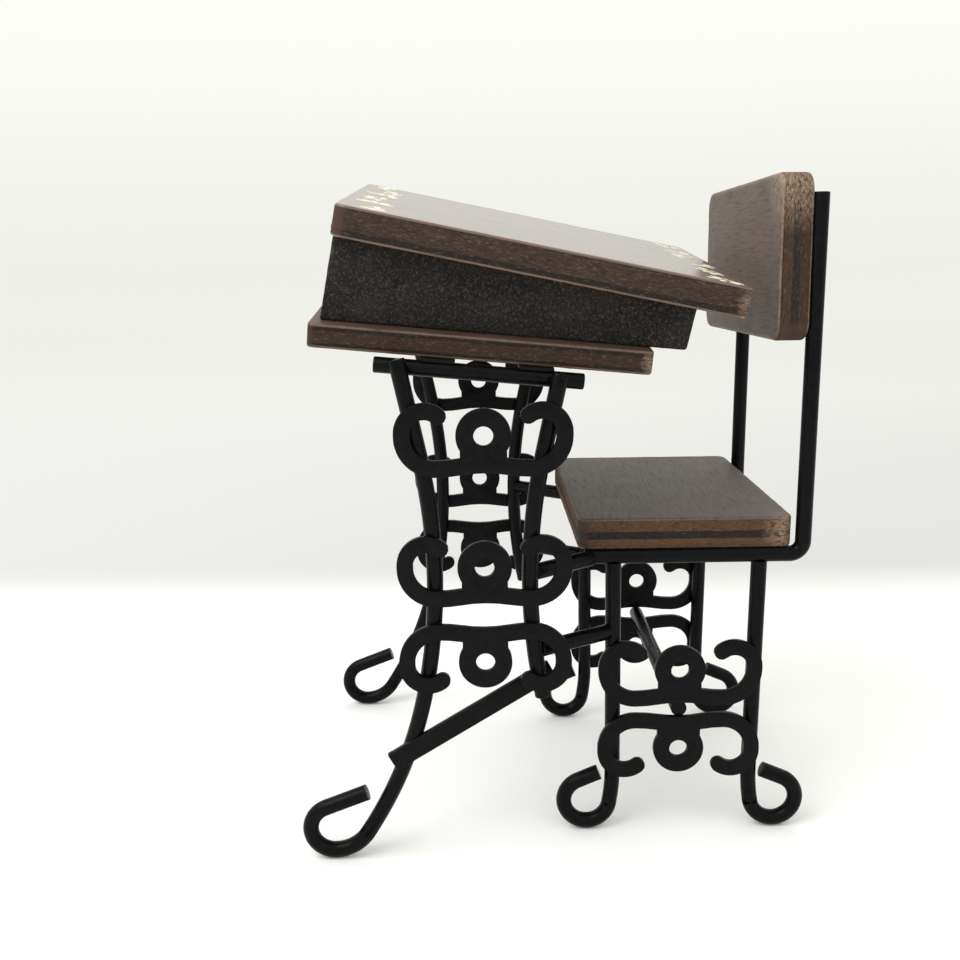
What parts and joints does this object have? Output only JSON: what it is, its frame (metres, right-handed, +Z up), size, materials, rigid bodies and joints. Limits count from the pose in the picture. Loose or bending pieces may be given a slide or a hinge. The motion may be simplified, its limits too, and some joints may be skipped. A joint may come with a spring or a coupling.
{
  "type": "miniature school desk with attached seat",
  "caption": "Miniature school desk: sloped hinged lid on a box, bent wire legs with curled feet and scroll plates, and a board seat with backrest on the same frame.",
  "frame": {"origin": "centre of the footprint, on the surface that the feet stand on", "axes": "+Z up; +X from the desk towards the seat back; -Y is the near side of the frame, whose desk top is the lower one"},
  "size_m": [0.0782, 0.0611, 0.1018],
  "materials": {
    "walnut_plywood": "satin walnut stain over plywood, worn corners",
    "charcoal_wood": "coarse matt charcoal paint",
    "black_wire": "satin black paint over steel wire and sheet",
    "hinge_brass": "dull, aged"
  },
  "bodies": {
    "root": {"desk_front_leg_near": "black_wire", "desk_front_leg_far": "black_wire", "desk_rear_post_near": "black_wire", "desk_rear_post_far": "black_wire", "desk_rail_near": "black_wire", "desk_rail_far": "black_wire", "cross_strap_front": "black_wire", "cross_strap_rear": "black_wire", "desk_scroll_upper_near": "black_wire", "desk_scroll_upper_far": "black_wire", "desk_scroll_middle_near": "black_wire", "desk_scroll_middle_far": "black_wire", "desk_scroll_lower_near": "black_wire", "desk_scroll_lower_far": "black_wire", "lower_brace": "black_wire", "upper_link_near": "black_wire", "upper_link_far": "black_wire", "lower_link_near": "black_wire", "lower_link_far": "black_wire", "seat_frame_near": "black_wire", "seat_frame_far": "black_wire", "seat_front_leg_near": "black_wire", "seat_front_leg_far": "black_wire", "seat_rear_leg_near": "black_wire", "seat_rear_leg_far": "black_wire", "seat_scroll_upper_near": "black_wire", "seat_scroll_upper_far": "black_wire", "seat_scroll_lower_near": "black_wire", "seat_scroll_lower_far": "black_wire", "seat_cross_rod": "black_wire", "seat_board": "walnut_plywood", "back_board": "walnut_plywood", "base_board": "walnut_plywood", "box_side_near": "charcoal_wood", "box_side_far": "charcoal_wood", "box_wall_high": "charcoal_wood", "box_wall_low": "charcoal_wood", "hinge_box_leaf_near": "hinge_brass", "hinge_box_leaf_far": "hinge_brass", "hinge_pin_near": "hinge_brass", "hinge_pin_far": "hinge_brass", "hinge_box_nails": "hinge_brass"},
    "lid": {"lid_board": "walnut_plywood", "hinge_lid_leaf_near": "hinge_brass", "hinge_lid_leaf_far": "hinge_brass", "hinge_lid_nails": "hinge_brass"}
  },
  "joints": [
    {"name": "lid_hinge", "type": "hinge", "parent": "root", "child": "lid", "pos_m": [-0.0324, -0.00059, 0.09531], "axis": [0, -0.9962, -0.0872], "range_deg": [0, 100]}
  ]
}
